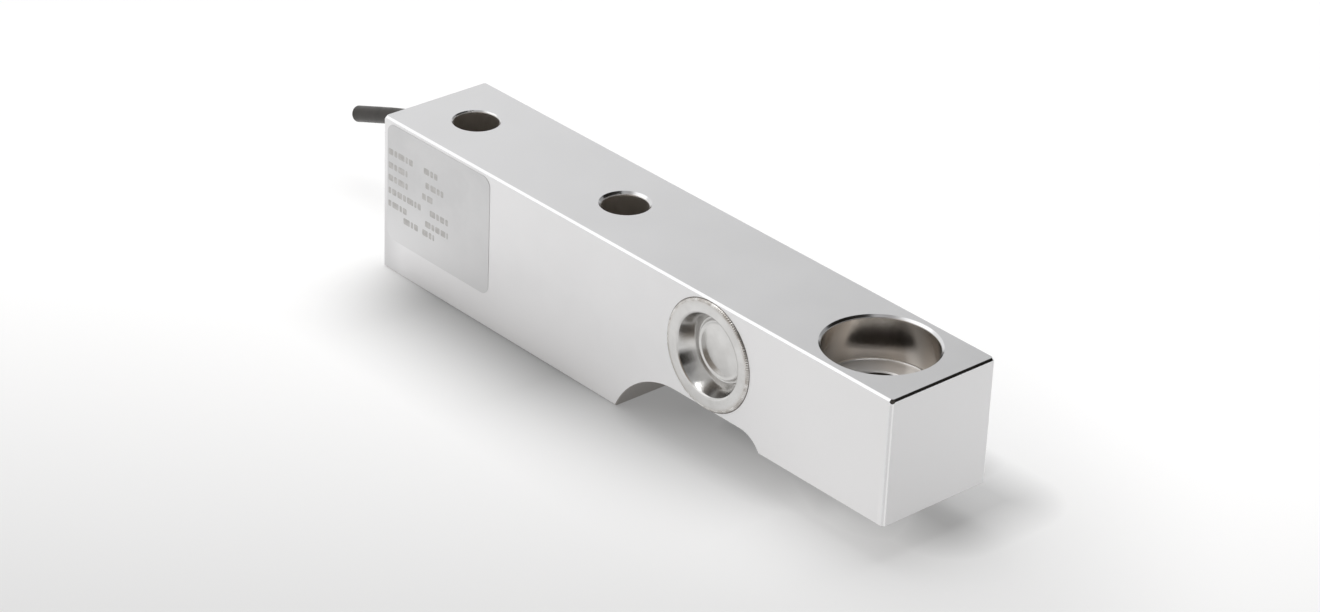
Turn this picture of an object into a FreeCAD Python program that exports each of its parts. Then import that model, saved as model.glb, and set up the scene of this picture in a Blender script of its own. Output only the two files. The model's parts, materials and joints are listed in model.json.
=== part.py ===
# Shear beam load cell.
# Frame: origin midway between the two mounting holes on the mounting face,
# +X towards the loaded end, +Z up, near (label) side at -Y. Millimetres.
import FreeCAD, Part
import os, math

V = FreeCAD.Vector

# ---- beam -------------------------------------------------------------
length = 203.0
width = 36.5
height = 47.6
mount_pitch = 63.5
mount_r = 6.5
rear_x = -50.25
load_x = 130.15
edge_top = 0.55           # chamfer along the long top edges and end edges
edge_side = 0.5
rear_round = 0.7          # rounding of the two rear upright edges
end_round = 1.0           # rounding of the two upright edges of the loaded end
corner_break = 1.6        # three-way corner facets
mount_break = (0.45, 0.8)  # top chamfers of rear and front mounting holes
mount_ease = (0.35, 0.5)  # radius where each chamfer runs into its bore
bore_r = 15.25            # counterbore at the loaded end
bore_floor_z = 34.9
bore_break = 0.7          # rim chamfer of the counterbore
bore_ease = 0.5
bore_nose = 0.5           # tool-nose radius between the counterbore wall and its floor
load_r = 8.75
lift_z = 11.2             # raised underside under the loaded end
roof_z = 15.25            # roof of the undercut
notch_r = 25.5
notch_cx = 74.35
notch_r2 = 8.6
notch_cx2 = 99.45

# ---- sensing section ---------------------------------------------------
cell_x = 86.25
cell_z = 31.1
pocket_r = 12.7
web = 6.5
seat_r = 15.65
seat_d = 0.5
web_hole_r = 1.5
web_hole_dz = 9.3
wire_y = 10.4             # wireway and cable entry
wire_r = 2.0
spigot_r = 4.0
spigot_len = 8.3

# ---- cable ---------------------------------------------------------------
cable_d = 4.9
shield_r = 1.85
shield_wall = 0.2
core_r = 0.5
core_off = 0.62
# centreline, rear end first; the free stretch droops from the gland
route = [V(-53.3, wire_y, 31.1), V(-65.5, wire_y, 31.1), V(-77.5, wire_y, 28.31),
         V(-88.5, wire_y, 24.69), V(-99.07, wire_y, 21.03)]

# ---- label ----------------------------------------------------------------
label_x0, label_x1 = -48.3, -3.2
label_z0, label_z1 = 10.2, 46.2
label_t = 0.12
label_corner = 3.0

half = width / 2.0
end_x = rear_x + length
os.makedirs("parts", exist_ok=True)
total = {}


def out(name, shape):
    shape = shape.removeSplitter() if name in ("beam_body",) else shape
    if not shape.isValid():
        print("INVALID", name)
    shape.exportStep("parts/" + name + ".step")
    total[name] = shape.Volume
    print("%-22s solids %2d volume %10.2f" % (name, len(shape.Solids), shape.Volume))
    return shape


def cyl(r, h, base, axis):
    return Part.makeCylinder(r, h, base, axis)


def cone(r1, r2, h, base, axis):
    return Part.makeCone(r1, r2, h, base, axis)


def rounded(points, radii, show=None):
    """Straight runs joined by tangent arcs; radii has one value per inner point."""
    edges = []
    start = points[0]
    for i in range(1, len(points) - 1):
        p, a, b = points[i], points[i - 1], points[i + 1]
        u = (a - p)
        w = (b - p)
        u.normalize()
        w.normalize()
        ang = u.getAngle(w)
        r = radii[i - 1]
        if r <= 0 or abs(ang - math.pi) < 1e-9:
            edges.append(Part.LineSegment(start, p).toShape())
            start = p
            continue
        t = r / math.tan(ang / 2.0)
        p1 = p + u * t
        p2 = p + w * t
        bis = u + w
        bis.normalize()
        c = p + bis * (r / math.sin(ang / 2.0))
        mid = c + (p - c).normalize() * r
        if (p1 - start).Length > 1e-6:
            edges.append(Part.LineSegment(start, p1).toShape())
        edges.append(Part.Arc(p1, mid, p2).toShape())
        start = p2
    if (points[-1] - start).Length > 1e-6:
        edges.append(Part.LineSegment(start, points[-1]).toShape())
    return Part.Wire(edges)


def sweep(path, r, inner=0.0):
    """A round tube along a wire, from circles square to its start."""
    e = path.OrderedEdges[0]
    p0 = e.valueAt(e.FirstParameter)
    d0 = e.tangentAt(e.FirstParameter)
    if e.Orientation == "Reversed":
        p0 = e.valueAt(e.LastParameter)
        d0 = e.tangentAt(e.LastParameter) * -1
    def one(rad):
        ring = Part.Wire([Part.Circle(p0, d0, rad).toShape()])
        return path.makePipeShell([ring], True, False)
    s = one(r)
    if inner > 0:
        s = s.cut(one(inner))
    return s


def cord_radii(points):
    """0.45 of the shorter run over the tangent of half the turn."""
    found = []
    for i in range(1, len(points) - 1):
        a = points[i] - points[i - 1]
        b = points[i + 1] - points[i]
        turn = a.getAngle(b)
        found.append(0.45 * min(a.Length, b.Length) / math.tan(turn / 2.0))
    return found


def hexagon(flats, h, base_x, y, z, bevel=0.0):
    """Six-sided bar along +X."""
    R = flats / math.sqrt(3.0)
    pts = [V(base_x, y + R * math.cos(math.radians(60 * k + 30)),
             z + R * math.sin(math.radians(60 * k + 30))) for k in range(6)]
    s = Part.Face(Part.makePolygon(pts + [pts[0]])).extrude(V(h, 0, 0))
    return s


# ======================== beam ===============================================
beam = Part.makeBox(length, width, height, V(rear_x, -half, 0))


def find(shape, test):
    return [e for e in shape.Edges if test(e.BoundBox)]


eps = 1e-4
rear = find(beam, lambda b: b.XMax < rear_x + eps and b.ZLength > height - 1)
beam = beam.makeFillet(rear_round, rear)
# end upright edges of the loaded end
front = find(beam, lambda b: b.XMin > end_x - eps and b.ZLength > height - 1)
beam = beam.makeFillet(end_round, front)
# all top edges, then all bottom edges
top = find(beam, lambda b: b.ZMin > height - eps)
beam = beam.makeChamfer(edge_top, top)
bottom = find(beam, lambda b: b.ZMax < eps)
beam = beam.makeChamfer(edge_side, bottom)

# corner facets at the four top corners
for sx, cx in ((1, end_x), (-1, rear_x)):
    for sy in (1, -1):
        n = V(sx, sy, 1)
        n.normalize()
        corner = V(cx, sy * half, height)
        # plane square to n, at the depth that trims corner_break along each edge
        d = corner_break / math.sqrt(3.0)
        base = corner - n * d
        slab = Part.makeBox(8, 8, 4, V(-4, -4, 0))
        slab.Placement = FreeCAD.Placement(base, FreeCAD.Rotation(V(0, 0, 1), n))
        beam = beam.cut(slab)

# undercut and raised underside, one milled profile
a0 = math.sqrt(notch_r ** 2 - (notch_r - roof_z) ** 2)      # half chord at z = 0
nz = roof_z - notch_r
nz2 = roof_z - notch_r2
p_a = V(notch_cx - a0, 0, 0.0)
p_b = V(notch_cx, 0, roof_z)
m1 = math.radians(0.5 * (90 + math.degrees(math.acos(-a0 / notch_r))))
p_m = V(notch_cx + notch_r * math.cos(m1), 0, nz + notch_r * math.sin(m1))
dx2 = math.sqrt(notch_r2 ** 2 - (lift_z - nz2) ** 2)
p_c = V(notch_cx2, 0, roof_z)
p_d = V(notch_cx2 + dx2, 0, lift_z)
m2 = 0.5 * (math.pi / 2 + math.atan2(lift_z - nz2, dx2))
p_n = V(notch_cx2 + notch_r2 * math.cos(m2), 0, nz2 + notch_r2 * math.sin(m2))
low = -5.0
edges = [Part.Arc(p_a, p_m, p_b).toShape(),
         Part.LineSegment(p_b, p_c).toShape(),
         Part.Arc(p_c, p_n, p_d).toShape(),
         Part.LineSegment(p_d, V(end_x + 5, 0, lift_z)).toShape(),
         Part.LineSegment(V(end_x + 5, 0, lift_z), V(end_x + 5, 0, low)).toShape(),
         Part.LineSegment(V(end_x + 5, 0, low), V(p_a.x, 0, low)).toShape(),
         Part.LineSegment(V(p_a.x, 0, low), p_a).toShape()]
prism = Part.Face(Part.Wire(edges))
prism.translate(V(0, -half - 5, 0))
prism = prism.extrude(V(0, width + 10, 0))
beam = beam.cut(prism)

# burr-free edges of the undercut and the raised end
under = [e for e in beam.Edges
         if (abs(e.BoundBox.YMin + half) < eps and abs(e.BoundBox.YMax + half) < eps
             or abs(e.BoundBox.YMin - half) < eps and abs(e.BoundBox.YMax - half) < eps)
         and e.BoundBox.ZMax < roof_z + 0.1 and e.BoundBox.XMin > p_a.x - 0.2
         and e.BoundBox.ZMax > 0.6 and e.BoundBox.XLength > 1.0]
print("undercut edges", len(under))
beam = beam.makeChamfer(0.25, under)

# mounting holes
def eased_hole(x, r, brk, ease, z0, nose=0.0):
    """A bore from z0 up through the top face, with a rim chamfer eased into its wall."""
    pts = [V(0, 0, z0), V(r, 0, z0), V(r, 0, height - brk), V(r + brk + 1.0, 0, height + 1.0), V(0, 0, height + 1.0)]
    w = rounded(pts, [nose, ease, 0.0])
    w = Part.Wire(w.Edges + [Part.LineSegment(pts[-1], pts[0]).toShape()])
    s = Part.Face(w).revolve(V(0, 0, 0), V(0, 0, 1), 360)
    s.translate(V(x, 0, 0))
    return s


for k, x in enumerate((-mount_pitch / 2, mount_pitch / 2)):
    beam = beam.cut(eased_hole(x, mount_r, mount_break[k], mount_ease[k], -1.0))
    beam = beam.cut(cone(mount_r, mount_r + 1.5, 1.5, V(x, 0, 0.5), V(0, 0, -1)))

# load hole: flat-floored counterbore with a through hole
beam = beam.cut(eased_hole(load_x, bore_r, bore_break, bore_ease, bore_floor_z, bore_nose))
beam = beam.cut(cyl(load_r, 60, V(load_x, 0, -1), V(0, 0, 1)))
beam = beam.cut(cone(load_r, load_r + 1.4, 1.4, V(load_x, 0, bore_floor_z - 0.4), V(0, 0, 1)))
beam = beam.cut(cone(load_r, load_r + 1.5, 1.5, V(load_x, 0, lift_z + 0.5), V(0, 0, -1)))

# side pockets, their seats, the wire hole and the wireway
for s in (-1, 1):
    beam = beam.cut(cyl(pocket_r, 40, V(cell_x, s * web / 2, cell_z), V(0, s, 0)))
    beam = beam.cut(cyl(seat_r, 10, V(cell_x, s * (half - seat_d), cell_z), V(0, s, 0)))
beam = beam.cut(cyl(web_hole_r, web + 2, V(cell_x, -web / 2 - 1, cell_z + web_hole_dz), V(0, 1, 0)))
beam = beam.cut(cyl(wire_r, cell_x - pocket_r - rear_x + 3, V(rear_x - 1, wire_y, cell_z), V(1, 0, 0)))
beam = beam.cut(cyl(spigot_r, spigot_len + 1, V(rear_x - 1, wire_y, cell_z), V(1, 0, 0)))
beam = out("beam_body", beam)

# ======================== sealing cups ======================================
# Half section as (radius, depth in from the beam's side face).
face_d = -0.57
outer = [(14.95, face_d), (11.75, face_d), (9.25, 5.3), (8.55, 5.3), (8.3, 3.95),
         (7.3, 4.2), (5.0, 3.98), (2.4, 3.84), (0.0, 3.84)]
outer_r = [0.8, 0.35, 0.35, 0.4, 1.6, 12.0, 12.0]
t = 0.5
inner = [(0.0, 3.84 + t), (2.4, 3.84 + t), (5.0, 3.98 + t), (7.0, 4.18 + t), (7.7, 4.2 + t),
         (7.95, 5.3 + t), (9.58, 5.3 + t), (11.84, seat_d), (seat_r - 0.01, seat_d)]
inner_r = [12.0, 12.0, 1.0, 0.3, 0.4, 0.7, 0.2]


def prof(pts):
    return [V(r, 0, d) for r, d in pts]


w_out = rounded(prof(outer), outer_r)
w_in = rounded(prof(inner), inner_r)
rim = [Part.LineSegment(V(seat_r - 0.01, 0, seat_d), V(seat_r - 0.01, 0, 0.0)).toShape(),
       Part.Arc(V(seat_r - 0.01, 0, 0.0), V(15.36, 0, -0.36), V(14.95, 0, face_d)).toShape(),
       Part.LineSegment(V(0, 0, 3.84), V(0, 0, 3.84 + t)).toShape()]
section = Part.Face(Part.Wire(Part.__sortEdges__(w_out.Edges + w_in.Edges + rim)))
cup = section.revolve(V(0, 0, 0), V(0, 0, 1), 360)
for name, s in (("front_seal_cup", -1), ("back_seal_cup", 1)):
    c = cup.copy()
    c.Placement = FreeCAD.Placement(V(cell_x, s * half, cell_z),
                                    FreeCAD.Rotation(V(0, 0, 1), V(0, -s, 0)))
    out(name, c)

# ======================== label =============================================
lx, lz = label_x1 - label_x0, label_z1 - label_z0
c = label_corner
pts = [V(label_x0 + c, 0, label_z0), V(label_x1, 0, label_z0), V(label_x1, 0, label_z1),
       V(label_x0, 0, label_z1), V(label_x0, 0, label_z0), V(label_x0 + c, 0, label_z0)]
lab = Part.Face(rounded(pts, [c, c, c, c * 0.999])).extrude(V(0, -label_t, 0))
lab.translate(V(0, -half, 0))
out("rating_label", lab)

# ======================== strain gauges and wiring ==========================
def box(x0, x1, y0, y1, z0, z1):
    return Part.makeBox(x1 - x0, y1 - y0, z1 - z0, V(x0, y0, z0))


def serpentine(cx, cz, ang, n, run, pitch, w, y, dy):
    """One measuring grid: parallel lines joined at alternate ends, with two tabs."""
    bars = []
    for i in range(n):
        o = (i - (n - 1) / 2.0) * pitch
        bars.append(Part.makeBox(run, dy, w, V(-run / 2, 0, o - w / 2)))
        if i < n - 1:
            e = run / 2 - w * 1.5 if i % 2 == 0 else -run / 2
            bars.append(Part.makeBox(w * 1.5, dy, pitch + w, V(e, 0, o - w / 2)))
    first = -(n - 1) / 2.0 * pitch
    bars.append(Part.makeBox(1.1, dy, 0.9, V(-run / 2 - 0.9, 0, first - 0.9 + w / 2)))
    last_end = -run / 2 - 0.9 if n % 2 == 0 else run / 2 - 0.2
    bars.append(Part.makeBox(1.1, dy, 0.9, V(last_end, 0, -first - w / 2)))
    s = bars[0].multiFuse(bars[1:]).removeSplitter()
    s.rotate(V(0, 0, 0), V(0, 1, 0), ang)
    s.translate(V(cx, y, cz))
    return s


for name, s in (("front", -1), ("back", 1)):
    y0 = s * web / 2
    backing = box(cell_x - 6.2, cell_x + 6.2, 0, 0.1, cell_z - 4.5, cell_z + 3.6)
    backing = backing.makeFillet(0.8, [e for e in backing.Edges if e.BoundBox.YLength > 0.05 and e.BoundBox.XLength < 0.01])
    backing.translate(V(0, y0 if s > 0 else y0 - 0.1, 0))
    out(name + "_gauge_backing", backing)
    gy = y0 + 0.1 if s > 0 else y0 - 0.1 - 0.05
    g1 = serpentine(cell_x - 2.6, cell_z - 0.5, 45, 6, 3.4, 0.42, 0.2, gy, 0.05)
    g2 = serpentine(cell_x + 2.6, cell_z - 0.5, 135, 6, 3.4, 0.42, 0.2, gy, 0.05)
    out(name + "_gauge_grid", Part.makeCompound([g1, g2]))
    # terminal strip: board and four raised copper pads in one piece
    sy = y0 if s > 0 else y0 - 0.4
    strip = box(cell_x - 3.6, cell_x + 3.6, sy, sy + 0.4, cell_z + 4.6, cell_z + 7.0)
    py = y0 + 0.4 if s > 0 else y0 - 0.4 - 0.1
    for k in range(4):
        px = cell_x - 2.7 + 1.8 * k
        strip = strip.fuse(box(px - 0.6, px + 0.6, py, py + 0.1, cell_z + 4.9, cell_z + 6.7))
    out(name + "_terminal_strip", strip)
    # fine leads from the gauge tabs up to the strip's pads
    leads = []
    for k in range(4):
        px = cell_x - 2.7 + 1.8 * k
        ya, yb = y0 + s * 0.26, y0 + s * 0.62
        path = rounded([V(px, ya, cell_z + 1.4), V(px, ya, cell_z + 3.4),
                        V(px, y0 + s * 1.3, cell_z + 4.3), V(px, yb, cell_z + 5.2),
                        V(px, yb, cell_z + 5.6)], [0.4, 0.35, 0.4])
        leads.append(sweep(path, 0.1))
    out(name + "_gauge_leads", Part.makeCompound(leads))

# bridge wires from the near strip through the web hole to the board
board_y0, board_t = 6.4, 0.8
board_y1 = board_y0 + board_t
wr = 0.13
near = []
for dx in (-0.9, -0.3, 0.3, 0.9):
    x = cell_x + dx
    ys = -web / 2 - 0.5 - wr
    near.append(sweep(rounded([V(x, ys, cell_z + 5.85), V(x, ys, cell_z + web_hole_dz),
                               V(x, 8.1, cell_z + web_hole_dz), V(x, board_y1 + 0.3, cell_z + 4.6)],
                              [0.9, 0.9]), wr))
out("bridge_wires", Part.makeCompound(near))
far = []
for dx in (-0.6, 0.0, 0.6):
    x = cell_x + dx
    ys = web / 2 + 0.5 + wr
    far.append(sweep(rounded([V(x, ys, cell_z + 5.85), V(x, ys + 0.25, cell_z + 8.3),
                              V(x, 7.9, cell_z + 8.2), V(x, board_y1 + 0.3, cell_z + 5.0)],
                             [0.8, 0.7]), wr))
out("back_bridge_wires", Part.makeCompound(far))

# compensation board on four soft pads over the far gauge
board = cyl(10.4, board_t, V(cell_x, board_y0, cell_z), V(0, 1, 0))
board = board.cut(cyl(2.1, 4, V(cell_x, board_y0 - 1, cell_z + web_hole_dz + 0.2), V(0, 1, 0)))
board = board.cut(box(cell_x - 2.1, cell_x + 2.1, 5, 9, cell_z + web_hole_dz, cell_z + 14))
out("compensation_board", board)
pads = []
for a in (45, 135, 225, 315):
    px = cell_x + 8.8 * math.cos(math.radians(a))
    pz = cell_z + 8.8 * math.sin(math.radians(a))
    pads.append(cyl(1.2, board_y0 - web / 2, V(px, web / 2, pz), V(0, 1, 0)))
out("board_supports", Part.makeCompound(pads))
chips = []
for x, z in ((-1.6, 0.6), (2.0, 0.6)):
    body = box(cell_x + x - 1.5, cell_x + x + 1.5, board_y1, board_y1 + 0.6, cell_z + z - 0.8, cell_z + z + 0.8)
    body = body.makeFillet(0.12, body.Edges)
    chips.append(body)
out("span_resistors", Part.makeCompound(chips))
bal = cyl(1.0, 5.2, V(cell_x - 2.6, board_y1 + 0.85, cell_z - 4.6), V(1, 0, 0))
bal = bal.fuse(cyl(1.15, 0.9, V(cell_x - 2.6, board_y1 + 0.85, cell_z - 4.6), V(1, 0, 0)))
bal = bal.fuse(cyl(1.15, 0.9, V(cell_x + 1.7, board_y1 + 0.85, cell_z - 4.6), V(1, 0, 0)))
bal = bal.cut(box(cell_x - 4, cell_x + 5, board_y1 - 3, board_y1, cell_z - 8, cell_z))
out("balance_resistor", bal)

# ======================== cable ==============================================
radii = cord_radii(route)
print("cable arc radii", [round(r, 1) for r in radii])
path = rounded(route, radii)
jacket = sweep(path, cable_d / 2, shield_r)
jacket = out("cable_jacket", jacket)
area = math.pi * ((cable_d / 2) ** 2 - shield_r ** 2)
print("cable length %.2f, volume/(section*length) %.4f" % (path.Length, jacket.Volume / (area * path.Length)))
shield = out("cable_shield", sweep(path, shield_r, shield_r - shield_wall))


def core_path(dy, dn, tail):
    """The route moved sideways by dy and off its line by dn, then on through the wireway."""
    pts = [p for p in reversed(route[1:])]
    moved = []
    for i, p in enumerate(pts):
        a = pts[i] - pts[i - 1] if i > 0 else pts[1] - pts[0]
        b = pts[i + 1] - pts[i] if i < len(pts) - 1 else V(1, 0, 0)
        a.normalize()
        b.normalize()
        na, nb = V(-a.z, 0, a.x), V(-b.z, 0, b.x)
        n = na + nb
        n.normalize()
        n = n * (dn / n.dot(nb))
        moved.append(p + n + V(0, dy, 0))
    rr = list(reversed(cord_radii(route)))       # P3, P2, P1
    moved_r = [r + dn for r in rr]
    return rounded(moved + tail[0], moved_r + tail[1])


cores = {}
pad_z = {"core_red": 4.3, "core_green": 1.45, "core_white": -1.45, "core_black": -4.3}
spots = {"core_red": (core_off, core_off), "core_green": (-core_off, core_off),
         "core_white": (-core_off, -core_off), "core_black": (core_off, -core_off)}
pad_x = cell_x - 7.3
for name, (dy, dn) in spots.items():
    y, z = wire_y + dy, cell_z + dn
    zt = cell_z + pad_z[name]
    x0 = cell_x - pocket_r + (1.2 if dy > 0 else 0.8)
    yt = board_y1 + core_r + 0.12
    tail = ([V(x0, y, z), V(x0 + 2.6, yt + 0.05, zt), V(pad_x + 0.2, yt, zt)], [1.6, 0.9])
    cores[name] = sweep(core_path(dy, dn, tail), core_r)
for name, s in cores.items():
    out(name, s)

joints = []
for name, z in pad_z.items():
    dome = cone(1.05, 0.55, 0.95, V(pad_x + 0.55, board_y1, cell_z + z), V(0, 1, 0))
    joints.append(dome.cut(cores[name]))
for x in (-0.9, -0.3, 0.3, 0.9):
    dome = cone(0.28, 0.16, 0.36, V(cell_x + x, board_y1, cell_z + 4.45), V(0, 1, 0))
    for w in near + far:
        dome = dome.cut(w)
    joints.append(dome)
out("board_solder_joints", Part.makeCompound(joints))

# ======================== cable gland ========================================
def ring(r_out, r_in, x0, x1):
    s = cyl(r_out, x1 - x0, V(x0, wire_y, cell_z), V(1, 0, 0))
    return s.cut(cyl(r_in, x1 - x0 + 2, V(x0 - 1, wire_y, cell_z), V(1, 0, 0)))


flats = 11.0
flange_x = rear_x - 3.0
thread_x = flange_x - 5.0
body = hexagon(flats, 3.0, flange_x, wire_y, cell_z)
bevel = cone(5.62, 6.62, 1.0, V(flange_x, wire_y, cell_z), V(1, 0, 0)).fuse(
    cyl(6.7, 2.0, V(flange_x + 1.0, wire_y, cell_z), V(1, 0, 0)))
body = body.common(bevel)
body = body.fuse(cyl(spigot_r - 0.02, spigot_len - 0.1, V(rear_x - 0.2, wire_y, cell_z), V(1, 0, 0)))
body = body.fuse(cyl(4.0, 5.2, V(thread_x, wire_y, cell_z), V(1, 0, 0)))
body = body.cut(cyl(cable_d / 2 + 0.1, 40, V(-70, wire_y, cell_z), V(1, 0, 0)))
body = body.cut(cyl(3.3, 4.0, V(thread_x - 0.2, wire_y, cell_z), V(1, 0, 0)))
body = body.cut(ring(4.95, spigot_r - 0.02, rear_x - 0.8, rear_x + 0.0001))
out("gland_body", body)
o = Part.makeTorus(4.47, 0.4, V(rear_x - 0.4, wire_y, cell_z), V(1, 0, 0))
out("gland_o_ring", o)
seal = ring(3.28, cable_d / 2, thread_x - 0.05, thread_x + 3.75)
out("gland_seal", seal)
out("gland_washer", ring(3.85, 2.65, thread_x - 0.65, thread_x - 0.05))
nut = hexagon(flats, 6.8, thread_x - 2.25, wire_y, cell_z)
shape_in = cone(4.6, 6.4, 1.1, V(thread_x - 2.25, wire_y, cell_z), V(1, 0, 0)).fuse(
    cyl(6.4, 5.1, V(thread_x - 1.15, wire_y, cell_z), V(1, 0, 0))).fuse(
    cone(6.4, 5.7, 0.6, V(thread_x + 3.95, wire_y, cell_z), V(1, 0, 0)))
nut = nut.common(shape_in)
nut = nut.cut(cyl(4.03, 6.0, V(thread_x - 0.65, wire_y, cell_z), V(1, 0, 0)))
nut = nut.cut(cyl(2.62, 6.0, V(thread_x - 4, wire_y, cell_z), V(1, 0, 0)))
nut = nut.cut(cone(3.1, 2.6, 0.5, V(thread_x - 2.25, wire_y, cell_z), V(1, 0, 0)))
out("gland_cap_nut", nut)

plug_x0 = rear_x + spigot_len
plug = cyl(wire_r, 9.0, V(plug_x0, wire_y, cell_z), V(1, 0, 0))
plug = plug.fuse(cyl(cable_d / 2 + 0.1, 7.0, V(plug_x0 - 7.0, wire_y, cell_z), V(1, 0, 0)))
for s in cores.values():
    plug = plug.cut(s)
out("potting_plug", plug)
print("nodes", len(total))
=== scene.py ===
import bpy, bmesh, math, json
from mathutils import Vector, Matrix, noise


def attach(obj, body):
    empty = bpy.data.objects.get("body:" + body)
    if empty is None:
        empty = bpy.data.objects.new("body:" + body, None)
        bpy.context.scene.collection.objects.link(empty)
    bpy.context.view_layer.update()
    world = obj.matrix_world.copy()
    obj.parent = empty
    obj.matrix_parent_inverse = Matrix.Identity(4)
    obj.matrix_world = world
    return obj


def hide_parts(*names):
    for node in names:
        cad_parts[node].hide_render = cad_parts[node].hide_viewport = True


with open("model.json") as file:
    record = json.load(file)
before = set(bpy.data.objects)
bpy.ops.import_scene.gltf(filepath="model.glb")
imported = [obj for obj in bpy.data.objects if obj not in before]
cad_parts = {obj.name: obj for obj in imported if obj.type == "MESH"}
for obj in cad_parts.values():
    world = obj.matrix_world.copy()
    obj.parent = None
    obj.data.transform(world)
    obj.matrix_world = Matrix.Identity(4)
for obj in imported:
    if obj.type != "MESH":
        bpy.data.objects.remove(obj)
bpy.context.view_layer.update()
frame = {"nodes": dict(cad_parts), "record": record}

scene = bpy.context.scene
scene.view_settings.view_transform = "Standard"
scene.view_settings.look = "None"
scene.view_settings.exposure = 0.0
scene.view_settings.gamma = 1.0
MM = 0.001

# sensing section, in millimetres
CX, CZ, HALF = 86.25, 31.1, 18.25
WIRE_Y = 10.4

# ---------------------------------------------------------------- camera
cam_data = bpy.data.cameras.new("camera")
cam_data.sensor_fit = "HORIZONTAL"
cam_data.sensor_width = 36.0
cam_data.lens = 104.02
cam_data.clip_start = 0.01
cam_data.clip_end = 50.0
camera = bpy.data.objects.new("camera", cam_data)
right = Vector((0.660514925, 0.749854222, 0.03792993))
up = Vector((-0.378538965, 0.288960096, 0.879323783))
back = Vector((0.648404415, -0.595164439, 0.474711497))
m = Matrix.Identity(4)
for i in range(3):
    m[i][0], m[i][1], m[i][2] = right[i], up[i], back[i]
    m[i][3] = (0.71183771, -0.61001706, 0.50939231)[i]
camera.matrix_world = m
scene.collection.objects.link(camera)
scene.camera = camera


# ---------------------------------------------------------------- node helpers
class Mat:
    """A node material built step by step; positions are in the row frame, in metres."""

    def __init__(self, name):
        self.mat = bpy.data.materials.new(name)
        self.mat.use_nodes = True
        self.t = self.mat.node_tree
        self.t.nodes.clear()
        self.out = self.t.nodes.new("ShaderNodeOutputMaterial")
        self.bsdf = self.t.nodes.new("ShaderNodeBsdfPrincipled")
        self.t.links.new(self.bsdf.outputs[0], self.out.inputs[0])
        self.coord = self.t.nodes.new("ShaderNodeTexCoord").outputs["Object"]
        self._xyz = None

    def node(self, kind, **props):
        n = self.t.nodes.new(kind)
        for k, v in props.items():
            setattr(n, k, v)
        return n

    def put(self, socket, value):
        if isinstance(value, bpy.types.NodeSocket):
            self.t.links.new(value, socket)
        elif value is not None:
            socket.default_value = value

    def math(self, op, a, b=0.0, c=None, clamp=False):
        n = self.node("ShaderNodeMath", operation=op, use_clamp=clamp)
        self.put(n.inputs[0], a)
        self.put(n.inputs[1], b)
        if c is not None:
            self.put(n.inputs[2], c)
        return n.outputs[0]

    def xyz(self):
        if self._xyz is None:
            n = self.node("ShaderNodeSeparateXYZ")
            self.put(n.inputs[0], self.coord)
            self._xyz = n.outputs
        return self._xyz

    def normal_xyz(self):
        g = self.node("ShaderNodeNewGeometry")
        n = self.node("ShaderNodeSeparateXYZ")
        self.put(n.inputs[0], g.outputs["True Normal"])
        return n.outputs

    def ramp(self, v, a, b, lo=0.0, hi=1.0, smooth=True):
        n = self.node("ShaderNodeMapRange", interpolation_type="SMOOTHSTEP" if smooth else "LINEAR")
        self.put(n.inputs["Value"], v)
        n.inputs["From Min"].default_value = a
        n.inputs["From Max"].default_value = b
        n.inputs["To Min"].default_value = lo
        n.inputs["To Max"].default_value = hi
        return n.outputs[0]

    def mix(self, f, a, b):
        n = self.node("ShaderNodeMix", data_type="RGBA")
        self.put(n.inputs[0], f)
        self.put(n.inputs[6], a if isinstance(a, bpy.types.NodeSocket) else (*a, 1.0))
        self.put(n.inputs[7], b if isinstance(b, bpy.types.NodeSocket) else (*b, 1.0))
        return n.outputs[2]

    def mixf(self, f, a, b):
        n = self.node("ShaderNodeMix", data_type="FLOAT")
        self.put(n.inputs[0], f)
        self.put(n.inputs[2], a)
        self.put(n.inputs[3], b)
        return n.outputs[0]

    def noise(self, scale, stretch=(1, 1, 1), detail=3.0, rough=0.5, vec=None, dist=0.0):
        mp = self.node("ShaderNodeMapping")
        self.put(mp.inputs[0], vec if vec is not None else self.coord)
        mp.inputs["Scale"].default_value = stretch
        n = self.node("ShaderNodeTexNoise")
        self.put(n.inputs["Vector"], mp.outputs[0])
        n.inputs["Scale"].default_value = scale
        n.inputs["Detail"].default_value = detail
        n.inputs["Roughness"].default_value = rough
        n.inputs["Distortion"].default_value = dist
        return n.outputs[0]

    def axis_dist(self, cx, cy, a=0, b=1):
        """Distance from a line along the third axis, through (cx, cy) metres."""
        x = self.math("SUBTRACT", self.xyz()[a], cx)
        y = self.math("SUBTRACT", self.xyz()[b], cy)
        return self.math("SQRT", self.math("ADD", self.math("MULTIPLY", x, x), self.math("MULTIPLY", y, y)))

    def bump(self, height, distance, strength=1.0, normal=None):
        n = self.node("ShaderNodeBump")
        n.inputs["Strength"].default_value = strength
        n.inputs["Distance"].default_value = distance
        self.put(n.inputs["Height"], height)
        if normal is not None:
            self.put(n.inputs["Normal"], normal)
        return n.outputs[0]

    def set(self, **kw):
        names = {"color": "Base Color", "metal": "Metallic", "rough": "Roughness", "normal": "Normal",
                 "ior": "IOR", "spec": "Specular IOR Level", "coat": "Coat Weight", "coat_rough": "Coat Roughness",
                 "aniso": "Anisotropic", "alpha": "Alpha", "sheen": "Sheen Weight", "trans": "Transmission Weight",
                 "sss": "Subsurface Weight"}
        for k, v in kw.items():
            if k in ("color",) and not isinstance(v, bpy.types.NodeSocket):
                v = (*v, 1.0)
            self.put(self.bsdf.inputs[names[k]], v)
        return self.mat


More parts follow.
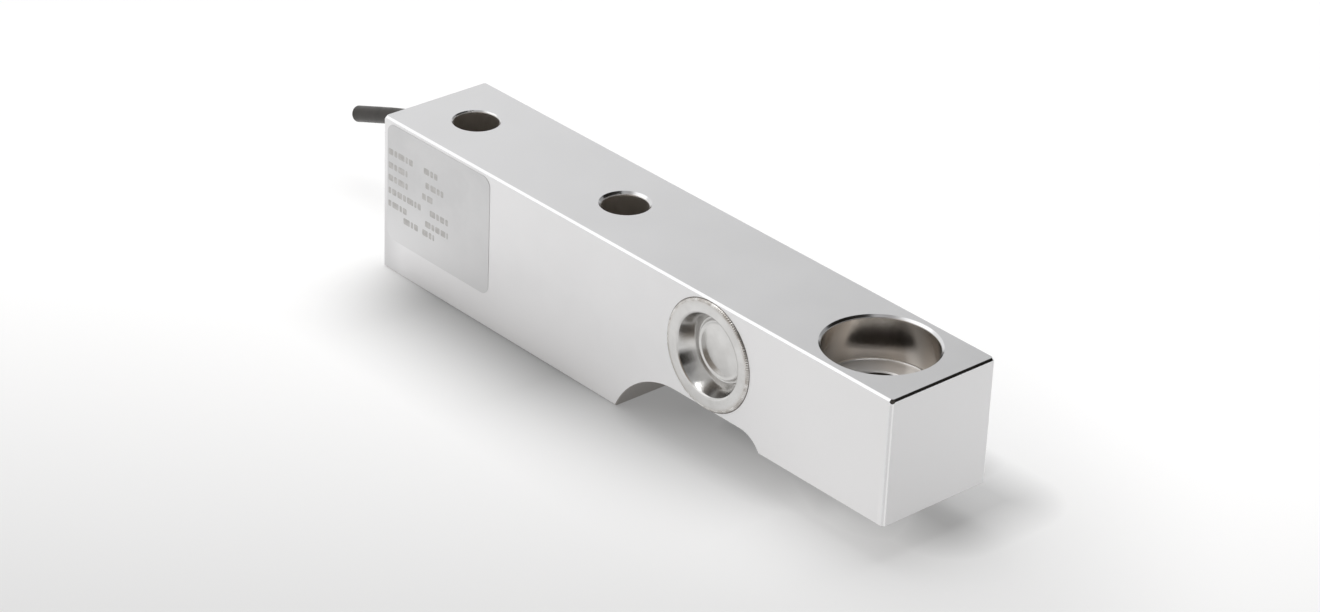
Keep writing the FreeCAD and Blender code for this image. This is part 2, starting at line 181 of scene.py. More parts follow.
# ---------------------------------------------------------------- materials
def beam_material():
    M = Mat("beam_metal")
    x, y, z = M.xyz()
    nx, ny, nz = M.normal_xyz()
    # finish: fine grinding along the beam, a slow waviness and a faint cloudiness
    grain = M.noise(1.0, (60, 5200, 5200), 3.0, 0.6)
    grain2 = M.noise(1.0, (350, 14000, 14000), 2.0, 0.5)
    cloud = M.noise(38.0, (1, 1, 1), 3.0, 0.55)
    wave = M.noise(14.0, (1, 1, 1), 1.0, 0.4)
    # machined insides of the holes
    inside = None
    for cx, cy, r in ((-0.03175, 0.0, 0.00665), (0.03175, 0.0, 0.00665), (0.13015, 0.0, 0.01535)):
        d = M.axis_dist(cx, cy)
        near = M.math("LESS_THAN", d, r)
        inside = near if inside is None else M.math("MAXIMUM", inside, near)
    upright = M.math("LESS_THAN", M.math("ABSOLUTE", nz), 0.35)
    bore = M.math("MULTIPLY", inside, upright)
    floor_ring = M.math("MULTIPLY", inside, M.math("SUBTRACT", 1.0, upright))
    under = M.math("LESS_THAN", nz, -0.02)
    milled_and_shaded = M.math("MULTIPLY", under, M.math("LESS_THAN", z, 0.0165))
    # turning lines round the bores, milling lines across the undercut
    d_load = M.axis_dist(0.13015, 0.0)
    rings = M.math("SINE", M.math("MULTIPLY", z, 2 * math.pi / 0.00032))
    rings_floor = M.math("SINE", M.math("MULTIPLY", d_load, 2 * math.pi / 0.00035))
    mill = M.noise(1.0, (2600, 40, 2600), 2.0, 0.6)
    h = M.math("MULTIPLY", grain, 0.55)
    h = M.math("MULTIPLY_ADD", grain2, 0.45, h)
    h = M.mixf(bore, h, M.math("MULTIPLY_ADD", rings, 0.35, 0.5))
    h = M.mixf(floor_ring, h, M.math("MULTIPLY_ADD", rings_floor, 0.3, 0.5))
    h = M.mixf(milled_and_shaded, h, mill)
    n1 = M.bump(wave, 0.00035, 0.35)
    n2 = M.bump(h, 0.000012, 0.6, n1)
    color = M.mix(M.ramp(cloud, 0.3, 0.7), (0.790, 0.788, 0.795), (0.825, 0.823, 0.830))
    # painted shade: a darker, warmer colour on the bore walls for the inside of the holes
    color = M.mix(bore, color, (0.72, 0.68, 0.635))
    color = M.mix(floor_ring, color, (0.76, 0.745, 0.73))
    # painted shade: the walls of the through hole below the load counterbore get a near-black colour; their roughness
    # is the drilled finish
    drilled_and_shaded = M.math("MULTIPLY", M.math("LESS_THAN", d_load, 0.0090), M.math("LESS_THAN", z, 0.0344))
    color = M.mix(drilled_and_shaded, color, (0.17, 0.15, 0.13))
    # painted shade: downward faces low on the beam, the undercut's underside, get a much darker colour, darkest
    # towards the loaded end
    color = M.mix(milled_and_shaded, color, M.mix(M.ramp(x, 0.070, 0.096), (0.475, 0.45, 0.425), (0.325, 0.308, 0.29)))
    # heat tint and a painted shadow line round each cup's weld
    dc = M.axis_dist(CX * MM, CZ * MM, 0, 2)
    weld_tint_and_shadow = M.math("MULTIPLY", M.ramp(dc, 0.01555, 0.01562), M.ramp(dc, 0.01584, 0.01596, 1.0, 0.0))
    side = M.math("GREATER_THAN", M.math("ABSOLUTE", ny), 0.5)
    weld_tint_and_shadow = M.math("MULTIPLY", weld_tint_and_shadow, side)
    color = M.mix(M.math("MULTIPLY", weld_tint_and_shadow, 0.9), color, (0.11, 0.09, 0.07))
    # painted highlight: a brighter polished colour on a band of the rounded upright edges at both ends, chosen by the
    # normal's direction to give a light line
    polished_edge_highlight = M.math("MULTIPLY", M.math("GREATER_THAN", M.math("ABSOLUTE", nx), 0.72),
                  M.math("GREATER_THAN", M.math("ABSOLUTE", ny), 0.22))
    polished_edge_highlight = M.math("MULTIPLY", polished_edge_highlight, M.math("LESS_THAN", M.math("ABSOLUTE", nz), 0.2))
    ends = M.math("MAXIMUM", M.math("GREATER_THAN", x, 0.1515), M.math("LESS_THAN", x, -0.0485))
    color = M.mix(M.math("MULTIPLY", polished_edge_highlight, ends), color, (0.96, 0.96, 0.96))
    # satin ground sides and end, brighter lapped top
    sides = M.math("MAXIMUM", M.math("GREATER_THAN", M.math("ABSOLUTE", ny), 0.95),
                   M.math("GREATER_THAN", M.math("ABSOLUTE", nx), 0.95))
    sides = M.math("MULTIPLY", sides, M.math("SUBTRACT", 1.0, bore))
    rough = M.ramp(cloud, 0.25, 0.75, 0.14, 0.20)
    rough = M.mixf(sides, rough, M.ramp(cloud, 0.25, 0.75, 0.30, 0.36))
    rough = M.mixf(bore, rough, 0.15)
    small = M.math("MULTIPLY", bore, M.math("LESS_THAN", x, 0.06))
    rough = M.mixf(small, rough, 0.38)
    rough = M.mixf(drilled_and_shaded, rough, 0.5)
    rough = M.mixf(floor_ring, rough, 0.26)
    rough = M.mixf(milled_and_shaded, rough, 0.3)
    plain_side = M.math("MULTIPLY", sides, M.math("SUBTRACT", 1.0, weld_tint_and_shadow))
    color = M.mix(plain_side, color, M.mix(M.ramp(cloud, 0.3, 0.7), (0.845, 0.843, 0.850), (0.875, 0.873, 0.880)))
    # painted light: the sides and end face are lighter and less metallic low down, along the sides towards the loaded
    # end and low on the loaded end face, offsetting the floor shade they reflect
    low = M.math("MULTIPLY", M.ramp(z, 0.0, 0.026, 1.0, 0.0), M.ramp(x, -0.046, -0.016))
    low = M.math("MAXIMUM", low, M.ramp(x, 0.060, 0.135, 0.0, 0.75))
    low = M.math("MAXIMUM", low, M.math("MULTIPLY", M.math("GREATER_THAN", x, 0.1505), M.ramp(z, 0.012, 0.044, 1.0, 0.4)))
    low = M.math("MULTIPLY", plain_side, low)
    color = M.mix(low, color, (0.975, 0.973, 0.98))
    # painted shade: the sides darken close to the rear end, most below 12 mm up and fading out by 36 mm
    back = M.math("MULTIPLY", M.ramp(x, -0.049, -0.041, 1.0, 0.0), M.ramp(z, 0.012, 0.036, 0.85, 0.0))
    color = M.mix(M.math("MULTIPLY", plain_side, back), color, (0.68, 0.678, 0.685))
    metal = M.mixf(sides, 1.0, M.mixf(low, 0.52, 0.30))
    metal = M.mixf(floor_ring, metal, 0.60)
    return M.set(color=color, metal=metal, rough=rough, normal=n2)


def cup_material():
    M = Mat("cup_steel")
    x, y, z = M.xyz()
    dc = M.axis_dist(CX * MM, CZ * MM, 0, 2)
    cloud = M.noise(120.0, (1, 1, 1), 4.0, 0.6)
    fine = M.noise(1500.0, (1, 1, 1), 3.0, 0.6)
    turn = M.math("SINE", M.math("MULTIPLY", dc, 2 * math.pi / 0.00028))
    h = M.math("MULTIPLY_ADD", turn, 0.12, M.math("MULTIPLY", fine, 0.8))
    n1 = M.bump(cloud, 0.00006, 0.5)
    n2 = M.bump(h, 0.000008, 0.6, n1)
    color = M.mix(M.ramp(cloud, 0.3, 0.7), (0.64, 0.632, 0.62), (0.74, 0.735, 0.725))
    # straw to brown heat tint towards the weld
    t = M.ramp(dc, 0.0138, 0.0154)
    t = M.math("MULTIPLY", t, M.ramp(cloud, 0.25, 0.8, 0.25, 0.75))
    color = M.mix(t, color, (0.56, 0.53, 0.49))
    rough = M.ramp(cloud, 0.25, 0.75, 0.15, 0.21)
    return M.set(color=color, metal=1.0, rough=rough, normal=n2)


def weld_material():
    M = Mat("weld_metal")
    cloud = M.noise(420.0, (1, 1, 1), 3.0, 0.6)
    color = M.mix(M.ramp(cloud, 0.3, 0.72), (0.46, 0.43, 0.40), (0.80, 0.79, 0.77))
    n = M.bump(M.noise(2600.0, (1, 1, 1), 2.0), 0.00001, 0.6)
    return M.set(color=color, metal=1.0, rough=M.ramp(cloud, 0.3, 0.7, 0.34, 0.22), normal=n)


def label_material():
    M = Mat("label_foil")
    x, y, z = M.xyz()
    cloud = M.noise(60.0, (1, 1, 1), 4.0, 0.6)
    fine = M.noise(3800.0, (1, 1, 1), 2.0, 0.6)
    color = M.mix(M.ramp(cloud, 0.3, 0.7), (0.62, 0.62, 0.625), (0.68, 0.68, 0.685))
    # painted light: the foil is lighter towards its bottom edge, offsetting the floor shade it reflects
    color = M.mix(M.ramp(z, 0.004, 0.034, 0.8, 0.0), color, (0.80, 0.80, 0.805))
    n = M.bump(fine, 0.000004, 0.2)
    return M.set(color=color, metal=0.6, rough=M.ramp(cloud, 0.3, 0.7, 0.34, 0.40), normal=n)


def print_material():
    M = Mat("label_print")
    cloud = M.noise(700.0, (1, 1, 1), 3.0, 0.6)
    color = M.mix(M.ramp(cloud, 0.3, 0.7), (0.46, 0.45, 0.44), (0.56, 0.55, 0.54))
    return M.set(color=color, metal=0.7, rough=0.45)


def plain(name, base, dark, metal=0.0, rough=0.5, scale=300.0, bump=0.00003, spread=0.1, stretch=(1, 1, 1), coat=0.0):
    M = Mat(name)
    cloud = M.noise(scale, stretch, 4.0, 0.6)
    fine = M.noise(scale * 6.0, stretch, 2.0, 0.6)
    color = M.mix(M.ramp(cloud, 0.3, 0.7), dark, base)
    n = M.bump(fine, bump, 0.5)
    M.set(color=color, metal=metal, rough=M.ramp(cloud, 0.3, 0.7, rough + spread / 2, rough - spread / 2), normal=n)
    if coat:
        M.set(coat=coat)
    return M.mat


mats = {
    "beam_metal": beam_material(),
    "cup_steel": cup_material(),
    "weld": weld_material(),
    "label_foil": label_material(),
    "print": print_material(),
    "cable_black": plain("cable_black", (0.022, 0.017, 0.013), (0.014, 0.011, 0.008), 0.0, 0.38, 260.0, 0.00002, 0.12),
    "braid_copper": plain("braid_copper", (0.72, 0.69, 0.64), (0.45, 0.42, 0.38), 1.0, 0.35, 2400.0, 0.00005),
    "core_red": plain("core_red", (0.62, 0.05, 0.04), (0.5, 0.035, 0.03), 0.0, 0.4, 600.0, 0.00001),
    "core_green": plain("core_green", (0.05, 0.34, 0.12), (0.035, 0.27, 0.09), 0.0, 0.4, 600.0, 0.00001),
    "core_white": plain("core_white", (0.82, 0.82, 0.80), (0.72, 0.72, 0.70), 0.0, 0.4, 600.0, 0.00001),
    "core_black": plain("core_black", (0.03, 0.03, 0.03), (0.02, 0.02, 0.02), 0.0, 0.4, 600.0, 0.00001),
    "gland_metal": plain("gland_metal", (0.72, 0.70, 0.66), (0.62, 0.60, 0.56), 1.0, 0.24, 500.0, 0.00002, 0.1, (1, 6, 6)),
    "seal_rubber": plain("seal_rubber", (0.03, 0.03, 0.03), (0.02, 0.02, 0.02), 0.0, 0.6, 500.0, 0.00002),
    "potting": plain("potting", (0.10, 0.10, 0.11), (0.06, 0.06, 0.07), 0.0, 0.2, 200.0, 0.00005),
    "gauge_film": plain("gauge_film", (0.62, 0.34, 0.09), (0.52, 0.27, 0.06), 0.0, 0.25, 500.0, 0.00001, 0.08, (1, 1, 1), 0.4),
    "gauge_foil": plain("gauge_foil", (0.66, 0.60, 0.50), (0.55, 0.49, 0.40), 1.0, 0.3, 900.0, 0.00001),
    "copper_wire": plain("copper_wire", (0.72, 0.36, 0.16), (0.6, 0.28, 0.11), 1.0, 0.3, 900.0, 0.00001),
    "board_green": plain("board_green", (0.04, 0.24, 0.10), (0.03, 0.18, 0.075), 0.0, 0.3, 900.0, 0.00002, 0.1, (1, 1, 1), 0.3),
    "silicone": plain("silicone", (0.78, 0.78, 0.76), (0.68, 0.68, 0.66), 0.0, 0.4, 200.0, 0.00004),
    "resistor_body": plain("resistor_body", (0.08, 0.08, 0.09), (0.05, 0.05, 0.055), 0.0, 0.3, 700.0, 0.00001),
    "solder": plain("solder", (0.74, 0.74, 0.73), (0.60, 0.60, 0.60), 1.0, 0.22, 700.0, 0.00003),
}
slot_of = {s["node"]: s["material_slot"] for s in frame["record"]["subparts"]}
for name, o in frame["nodes"].items():
    o.data.materials.clear()
    o.data.materials.append(mats[slot_of[name]])


# ---------------------------------------------------------------- mesh helpers
def new_object(name, verts, faces, mat, smooth=True):
    me = bpy.data.meshes.new(name)
    me.from_pydata([tuple(v) for v in verts], [], faces)
    me.validate()
    me.update()
    bm = bmesh.new()
    bm.from_mesh(me)
    bmesh.ops.recalc_face_normals(bm, faces=bm.faces)
    bm.to_mesh(me)
    bm.free()
    if smooth:
        for p in me.polygons:
            p.use_smooth = True
    o = bpy.data.objects.new(name, me)
    scene.collection.objects.link(o)
    me.materials.append(mat)
    return o


def arc_path(pts, radii, steps=10):
    """2D points of straight runs joined by tangent arcs, as in the part's half section."""
    out = [Vector(pts[0])]
    for i in range(1, len(pts) - 1):
        p, a, b = Vector(pts[i]), Vector(pts[i - 1]), Vector(pts[i + 1])
        u, w = (a - p).normalized(), (b - p).normalized()
        r = radii[i - 1]
        ang = u.angle(w)
        if r <= 0 or abs(ang - math.pi) < 1e-6:
            out.append(p)
            continue
        t = r / math.tan(ang / 2)
        c = p + (u + w).normalized() * (r / math.sin(ang / 2))
        s0, s1 = (p + u * t) - c, (p + w * t) - c
        a0, a1 = math.atan2(s0.y, s0.x), math.atan2(s1.y, s1.x)
        d = (a1 - a0 + math.pi) % (2 * math.pi) - math.pi
        n = max(2, int(steps * abs(d) / (math.pi / 2)) + 1)
        for k in range(n + 1):
            q = a0 + d * k / n
            out.append(c + Vector((math.cos(q), math.sin(q))) * r)
    out.append(Vector(pts[-1]))
    return out


def dense(pts, gap):
    """Adds points on long runs so that shading stays even."""
    out = [pts[0]]
    for a, b in zip(pts, pts[1:]):
        n = max(1, int((b - a).length / gap))
        for k in range(1, n + 1):
            out.append(a.lerp(b, k / n))
    clean = [out[0]]
    for p in out[1:]:
        if (p - clean[-1]).length > 1e-4:
            clean.append(p)
    return clean


def lathe(name, section, side, mat, n=288):
    """Turns a closed half section (radius, depth in mm) about the cup's axis; side is -1 near, 1 far."""
    verts, faces, rows = [], [], []
    for r, d in section:
        y = side * (HALF - d)
        if r < 1e-6:
            rows.append([len(verts)])
            verts.append((CX * MM, y * MM, CZ * MM))
            continue
        row = []
        for k in range(n):
            a = 2 * math.pi * k / n
            row.append(len(verts))
            verts.append(((CX + r * math.cos(a)) * MM, y * MM, (CZ + r * math.sin(a)) * MM))
        rows.append(row)
    m_rows = len(rows)
    for i in range(m_rows - 1):
        A, B = rows[i], rows[i + 1]
        for k in range(n):
            k2 = (k + 1) % n
            if len(A) == 1 and len(B) == 1:
                continue
            if len(A) == 1:
                faces.append((A[0], B[k], B[k2]))
            elif len(B) == 1:
                faces.append((A[k], A[k2], B[0]))
            else:
                faces.append((A[k], A[k2], B[k2], B[k]))
    if len(rows[0]) > 1 and len(rows[-1]) > 1:
        A, B = rows[-1], rows[0]
        for k in range(n):
            k2 = (k + 1) % n
            faces.append((A[k], A[k2], B[k2], B[k]))
    return new_object(name, verts, faces, mat)


# ---------------------------------------------------------------- sealing cups
T = 0.5
outer = arc_path([(14.95, -0.57), (11.75, -0.57), (9.25, 5.3), (8.55, 5.3), (8.3, 3.95),
                  (7.3, 4.2), (5.0, 3.98), (2.4, 3.84), (0.0, 3.84)],
                 [0.8, 0.35, 0.35, 0.4, 1.6, 12.0, 12.0], 12)
inner = arc_path([(0.0, 3.84 + T), (2.4, 3.84 + T), (5.0, 3.98 + T), (7.0, 4.18 + T), (7.7, 4.2 + T),
                  (7.95, 5.3 + T), (9.58, 5.3 + T), (11.84, 0.5), (15.64, 0.5)],
                 [12.0, 12.0, 1.0, 0.3, 0.4, 0.7, 0.2], 4)
rim = [Vector((15.64, 0.0)), Vector((15.53, -0.2)), Vector((15.36, -0.36)), Vector((15.16, -0.49))]
front_face = dense(outer, 0.35)
for name, side in (("front_seal_cup", -1), ("back_seal_cup", 1)):
    section = front_face + inner + rim
    cup = lathe(name + "_turned", section, side, mats["cup_steel"])
    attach(cup, "root")
    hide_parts(name)


def weld_bead(name, side):
    """A rippled bead that follows the cup's rim down to the beam's face."""
    n, m_ = 900, 14
    line = arc_path([(14.86, -0.56), (15.30, -0.53), (15.70, 0.02)], [0.6], 12)
    line = dense(line, 0.02)
    total = sum((b - a).length for a, b in zip(line, line[1:]))
    verts, faces = [], []
    ripples = 148
    for j in range(m_ + 1):
        s = j / m_
        want, run, p, dirv = s * total, 0.0, line[-1], Vector((0, 1))
        for a, b in zip(line, line[1:]):
            seg = (b - a).length
            if run + seg >= want - 1e-9:
                p = a.lerp(b, (want - run) / max(seg, 1e-9))
                dirv = (b - a).normalized()
                break
            run += seg
        nrm = Vector((dirv.y, -dirv.x))
        if nrm.x < 0 and nrm.y > 0:
            nrm = -nrm
        body = math.sin(math.pi * s) ** 0.6
        for k in range(n):
            a = 2 * math.pi * k / n
            wob = noise.noise(Vector((math.cos(a) * 3.1, math.sin(a) * 3.1, side * 2.0)))
            ph = a * ripples / (2 * math.pi) + 1.5 * (s - 0.5) ** 2 * 4 * 0.35 + wob * 0.9
            f = ph - math.floor(ph)
            scale = (f if f < 0.82 else (1 - f) / 0.18 * 0.82) / 0.82
            local = noise.noise(Vector((math.cos(a) * 9.0, math.sin(a) * 9.0, 4.0 + s)))
            h = body * (0.05 + 0.10 * scale + 0.035 * local) - (0.02 if s in (0.0, 1.0) else 0.0)
            q = p + nrm * h
            y = side * (HALF - q.y)
            verts.append(((CX + q.x * math.cos(a)) * MM, y * MM, (CZ + q.x * math.sin(a)) * MM))
    # closing under-surface
    base = len(verts)
    for k in range(n):
        a = 2 * math.pi * k / n
        y = side * (HALF - 0.03)
        verts.append(((CX + 14.95 * math.cos(a)) * MM, y * MM, (CZ + 14.95 * math.sin(a)) * MM))
    for j in range(m_):
        for k in range(n):
            k2 = (k + 1) % n
            faces.append((j * n + k, j * n + k2, (j + 1) * n + k2, (j + 1) * n + k))
    for k in range(n):
        k2 = (k + 1) % n
        faces.append((m_ * n + k, m_ * n + k2, base + k2, base + k))
        faces.append((base + k, base + k2, k2, k))
    o = new_object(name, verts, faces, mats["weld"])
    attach(o, "root")
    return o


weld_bead("front_weld_bead", -1)
weld_bead("back_weld_bead", 1)


# ---------------------------------------------------------------- label print, as plain bars
def rounded_bar(x0, x1, z0, z1, y0, y1, r=0.35, steps=3):
    pts = []
    r = min(r, (x1 - x0) / 2.01, (z1 - z0) / 2.01)
    for cx, cz, a0 in ((x1 - r, z1 - r, 0), (x0 + r, z1 - r, 90), (x0 + r, z0 + r, 180), (x1 - r, z0 + r, 270)):
        for k in range(steps + 1):
            a = math.radians(a0 + 90.0 * k / steps)
            pts.append((cx + r * math.cos(a), cz + r * math.sin(a)))
    n = len(pts)
    verts = [(x * MM, y0 * MM, z * MM) for x, z in pts] + [(x * MM, y1 * MM, z * MM) for x, z in pts]
    faces = [tuple(range(n)), tuple(reversed(range(n, 2 * n)))]
    faces += [(k, (k + 1) % n, n + (k + 1) % n, n + k) for k in range(n)]
    return verts, faces


K = 1.015
rows = [(37.0, ((2.4, 13.2), (18.0, 24.0))), (32.8, ((2.4, 10.8), (18.8, 26.6))), (29.0, ((2.4, 11.6), (17.4, 22.0))),
        (25.0, ((2.4, 16.8), (20.8, 28.8))), (21.0, ((2.4, 11.0), (18.8, 28.8))), (18.0, ((9.2, 16.0), (17.6, 22.8)))]
words = [2.1, 1.3, 2.8, 1.0, 1.7, 2.4, 1.2, 1.9]
verts, faces, w = [], [], 0
for z, spans in rows:
    for a, b in spans:
        p = a
        while p < b - 0.6:
            q = min(b, p + words[w % len(words)])
            w += 1
            x0, x1 = rear = (-50.25 + K * p, -50.25 + K * q)
            v, f = rounded_bar(x0, x1, K * z - 0.95, K * z + 0.95, -HALF - 0.118, -HALF - 0.126)
            base = len(verts)
            verts += v
            faces += [tuple(base + i for i in t) for t in f]
            p = q + 0.45
marks = new_object("label_print_bars", verts, faces, mats["print"], smooth=False)
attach(marks, "root")

# ---------------------------------------------------------------- cable
route = [(-53.3, 31.1), (-65.5, 31.1), (-77.5, 28.31), (-88.5, 24.69), (-99.07, 21.03)]
curve = bpy.data.curves.new("cable", "CURVE")
curve.dimensions = "3D"
sp = curve.splines.new("NURBS")
sp.points.add(len(route) - 1)
for p, (x, z) in zip(sp.points, route):
    p.co = (x * MM, WIRE_Y * MM, z * MM, 1.0)
sp.order_u = 3
sp.use_endpoint_u = True
sp.resolution_u = 16
curve.bevel_depth = 2.45 * MM
curve.bevel_resolution = 12
curve.use_fill_caps = False
cable = bpy.data.objects.new("cable", curve)
scene.collection.objects.link(cable)
curve.materials.append(mats["cable_black"])

# the cut end: the jacket's square-cut wall and bare strand ends
end = Vector((route[-1][0], WIRE_Y, route[-1][1]))
axis = (end - Vector((route[-2][0], WIRE_Y, route[-2][1]))).normalized()
side_v = Vector((0, 1, 0))
up_v = axis.cross(side_v).normalized()


def disc_ring(name, sect, mat, n=96, at=end):
    """Turns a closed (radius, along) section about the cable's end axis."""
    verts, faces = [], []
    for r, l in sect:
        for k in range(n):
            a = 2 * math.pi * k / n
            verts.append((at + axis * l + side_v * (r * math.cos(a)) + up_v * (r * math.sin(a))) * MM)
    c = len(sect)
    for i in range(c):
        for k in range(n):
            k2 = (k + 1) % n
            j = (i + 1) % c
            faces.append((i * n + k, i * n + k2, j * n + k2, j * n + k))
    return new_object(name, verts, faces, mat)


wall = disc_ring("cable_cut_wall", [(2.452, -0.35), (2.45, -0.12), (2.38, -0.02), (2.30, 0.0), (1.98, 0.0), (1.88, -0.04),
                                    (1.86, -0.35)], mats["cable_black"])
strands_v, strands_f = [], []
spots = {"red": (0.62, 0.62), "green": (-0.62, 0.62), "white": (-0.62, -0.62), "black": (0.62, -0.62)}
for dy, dn in spots.values():
    c0 = end + side_v * dy + up_v * (dn if up_v.z > 0 else -dn)
    for i in range(7):
        rr = 0.0 if i == 0 else 0.175
        a = math.pi / 3 * i
        c1 = c0 + side_v * (rr * math.cos(a)) + up_v * (rr * math.sin(a))
        base = len(strands_v)
        n = 12
        for l in (-0.3, 0.10 + 0.03 * ((i * 5) % 3)):
            for k in range(n):
                b = 2 * math.pi * k / n
                strands_v.append((c1 + axis * l + side_v * (0.085 * math.cos(b)) + up_v * (0.085 * math.sin(b))) * MM)
        for k in range(n):
            k2 = (k + 1) % n
            strands_f.append((base + k, base + k2, base + n + k2, base + n + k))
        strands_f.append(tuple(base + n + k for k in range(n)))
        strands_f.append(tuple(base + k for k in reversed(range(n))))
strands = new_object("conductor_strand_ends", strands_v, strands_f, mats["copper_wire"], smooth=False)
for o in (cable, wall, strands):
    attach(o, "root")
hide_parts("cable_jacket")

# ---------------------------------------------------------------- stage and light
FLOOR_ALBEDO, FLOOR_GLOW = 0.54, 0.50
me = bpy.data.meshes.new("floor")
S = 4.0
me.from_pydata([(-S, -S, 0), (S, -S, 0), (S, S, 0), (-S, S, 0)], [], [(0, 1, 2, 3)])
floor = bpy.data.objects.new("floor", me)
scene.collection.objects.link(floor)
F = Mat("floor_paper")
fx, fy, fz = F.xyz()
# painted light falloff on the lit table: white at the back, a little greyer towards the front left
down = F.math("ADD", F.math("MULTIPLY", fx, 0.73), F.math("MULTIPLY", fy, -0.68))
across = F.math("ADD", F.math("MULTIPLY", fx, 0.68), F.math("MULTIPLY", fy, 0.73))
g = F.ramp(down, 0.0, 0.165, 1.04, 0.79, smooth=False)
g = F.math("ADD", g, F.ramp(across, 0.115, 0.185, 0.0, 0.12))
g = F.math("MINIMUM", g, 1.05)


def box_dist(x0, x1, y0, y1):
    """Distance on the floor from a rectangle, in metres."""
    dx = F.math("MAXIMUM", F.math("SUBTRACT", F.math("ABSOLUTE", F.math("SUBTRACT", fx, (x0 + x1) / 2)), (x1 - x0) / 2), 0.0)
    dy = F.math("MAXIMUM", F.math("SUBTRACT", F.math("ABSOLUTE", F.math("SUBTRACT", fy, (y0 + y1) / 2)), (y1 - y0) / 2), 0.0)
    return F.math("SQRT", F.math("ADD", F.math("MULTIPLY", dx, dx), F.math("MULTIPLY", dy, dy)))


# contact shade along the bolted end, fading across and along the beam
off = F.math("MAXIMUM", F.math("SUBTRACT", F.math("ABSOLUTE", fy), 0.01825), 0.0)
near = F.math("POWER", F.ramp(off, 0.0, 0.045, 1.0, 0.0, smooth=False), 1.3)
along = F.math("MULTIPLY", F.ramp(fx, -0.062, -0.022), F.ramp(fx, 0.028, 0.118, 1.0, 0.0, smooth=False))
shade = F.math("SUBTRACT", 1.0, F.math("MULTIPLY", F.math("MULTIPLY", near, along), 0.64))
# painted shadow on the floor under the undercut and the raised loaded end
below = F.math("MINIMUM", F.ramp(box_dist(0.066, 0.105, -0.003, 0.028), 0.0, 0.022, 0.72, 1.0, smooth=False),
               F.ramp(box_dist(0.096, 0.150, 0.009, 0.030), 0.0, 0.016, 0.66, 1.0, smooth=False))
below = F.math("MINIMUM", below, F.ramp(box_dist(0.080, 0.132, 0.002, 0.030), 0.0, 0.016, 0.50, 1.0, smooth=False))
shade = F.math("MULTIPLY", shade, below)
g = F.math("MULTIPLY", g, shade)
grey = F.node("ShaderNodeCombineXYZ")
for k in range(3):
    F.put(grey.inputs[k], F.math("MULTIPLY", g, FLOOR_ALBEDO))
F.set(color=grey.outputs[0], rough=0.9, spec=0.05)
# the floor also glows like a light table; the glow carries the same painted falloff and painted shade
glow = F.node("ShaderNodeEmission")
# painted shade: the floor's glow drops under and between the two bolt holes, darkening what is seen down the holes
under_bores = F.ramp(box_dist(-0.032, 0.032, -0.00001, 0.00001), 0.007, 0.014, 0.12, 1.0)
F.put(glow.inputs["Strength"], F.math("MULTIPLY", F.math("MULTIPLY", g, under_bores), FLOOR_GLOW))
both = F.node("ShaderNodeAddShader")
F.put(both.inputs[0], F.bsdf.outputs[0])
F.put(both.inputs[1], glow.outputs[0])
F.put(F.out.inputs[0], both.outputs[0])
me.materials.append(F.mat)

world = bpy.data.worlds.new("studio")
scene.world = world
world.use_nodes = True
wt = world.node_tree
wt.nodes.clear()
w_out = wt.nodes.new("ShaderNodeOutputWorld")
bg = wt.nodes.new("ShaderNodeBackground")
wt.links.new(bg.outputs[0], w_out.inputs[0])
tc = wt.nodes.new("ShaderNodeTexCoord")
norm = wt.nodes.new("ShaderNodeVectorMath")
norm.operation = "NORMALIZE"
wt.links.new(tc.outputs["Generated"], norm.inputs[0])


def w_dot(v):
    n = wt.nodes.new("ShaderNodeVectorMath")
    n.operation = "DOT_PRODUCT"
    wt.links.new(norm.outputs[0], n.inputs[0])
    n.inputs[1].default_value = Vector(v).normalized()
    return n.outputs["Value"]


def w_range(v, a, b, lo, hi):
    n = wt.nodes.new("ShaderNodeMapRange")
    n.interpolation_type = "SMOOTHSTEP"
    wt.links.new(v, n.inputs["Value"])
    for key, val in (("From Min", a), ("From Max", b), ("To Min", lo), ("To Max", hi)):
        n.inputs[key].default_value = val
    return n.outputs[0]


def w_mul(a, b):
    n = wt.nodes.new("ShaderNodeMath")
    n.operation = "MULTIPLY"
    wt.links.new(a, n.inputs[0])
    if isinstance(b, float):
        n.inputs[1].default_value = b
    else:
        wt.links.new(b, n.inputs[1])
    return n.outputs[0]


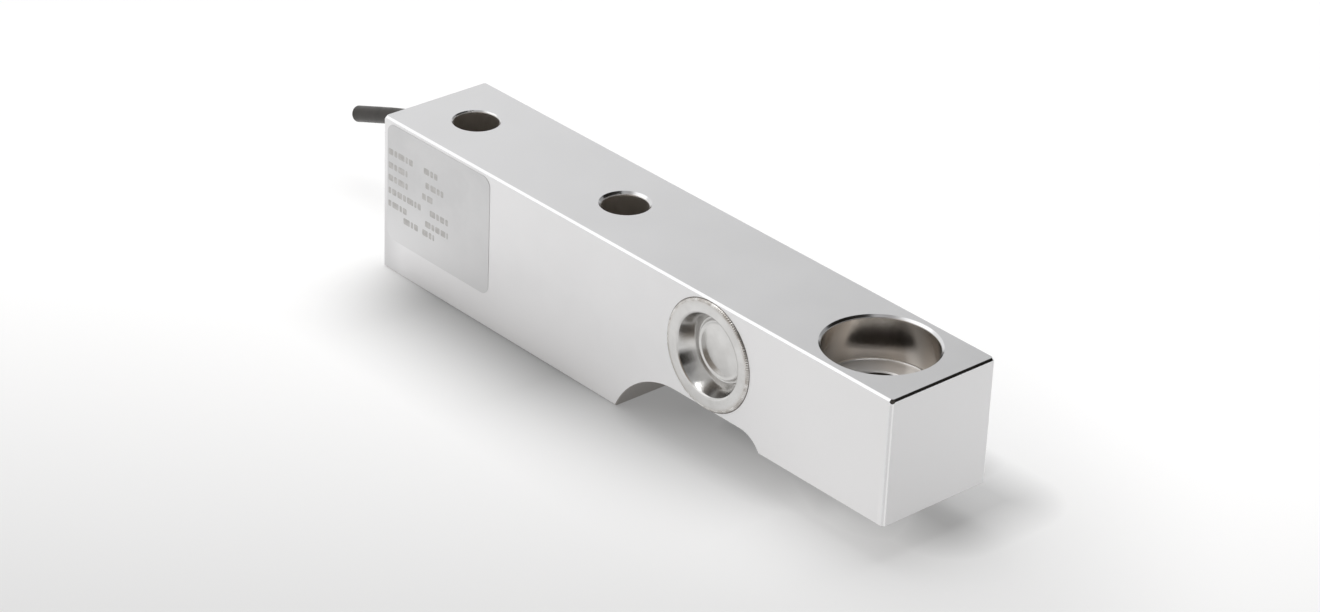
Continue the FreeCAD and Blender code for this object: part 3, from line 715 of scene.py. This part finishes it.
def w_tint(mask, colour):
    """White where mask is 0, the colour where it is 1."""
    n = wt.nodes.new("ShaderNodeMix")
    n.data_type = "RGBA"
    wt.links.new(mask, n.inputs[0])
    n.inputs[6].default_value = (1, 1, 1, 1)
    n.inputs[7].default_value = (*colour, 1)
    return n.outputs[2]


def w_mulc(a, b):
    n = wt.nodes.new("ShaderNodeMix")
    n.data_type = "RGBA"
    n.blend_type = "MULTIPLY"
    n.inputs[0].default_value = 1.0
    wt.links.new(a, n.inputs[6])
    wt.links.new(b, n.inputs[7])
    return n.outputs[2]


cos = lambda deg: math.cos(math.radians(deg))
# white studio; a dim warm room behind the camera, a black flag over the loaded end,
# a small black flag in front and above, and a bright bank overhead towards the near side
room = w_range(w_dot((0.42, -0.83, 0.37)), cos(44), cos(26), 0.0, 1.0)
flag = w_range(w_dot((0.50, 0.45, 0.74)), cos(38), cos(32), 0.0, 1.0)
spot = w_range(w_dot((0.52, -0.52, 0.68)), cos(8), cos(5), 0.0, 1.0)
fall = w_range(w_dot((0.50, 0.45, 0.74)), cos(80), cos(55), 1.0, 0.35)
bank = w_range(w_dot((-0.15, -0.50, 0.85)), cos(45), cos(41), 0.87, 1.28)
low = w_range(w_dot((0.90, -0.20, 0.38)), cos(18), cos(12), 0.0, 1.0)
tone = w_mulc(w_tint(room, (0.30, 0.265, 0.23)), w_tint(flag, (0.035, 0.030, 0.025)))
tone = w_mulc(tone, w_tint(spot, (0.035, 0.030, 0.025)))
tone = w_mulc(tone, w_tint(low, (0.05, 0.043, 0.036)))
wt.links.new(tone, bg.inputs["Color"])
wt.links.new(w_mul(fall, bank), bg.inputs["Strength"])

key = bpy.data.lights.new("overhead_softbox", "AREA")
key.shape = "RECTANGLE"
key.size, key.size_y = 1.0, 0.8
key.energy = 8.0
key_o = bpy.data.objects.new("overhead_softbox", key)
key_o.location = (-0.06, 0.22, 1.22)
key_o.rotation_euler = (Vector((0.05, 0.0, 0.0)) - Vector(key_o.location)).to_track_quat("-Z", "Y").to_euler()
scene.collection.objects.link(key_o)
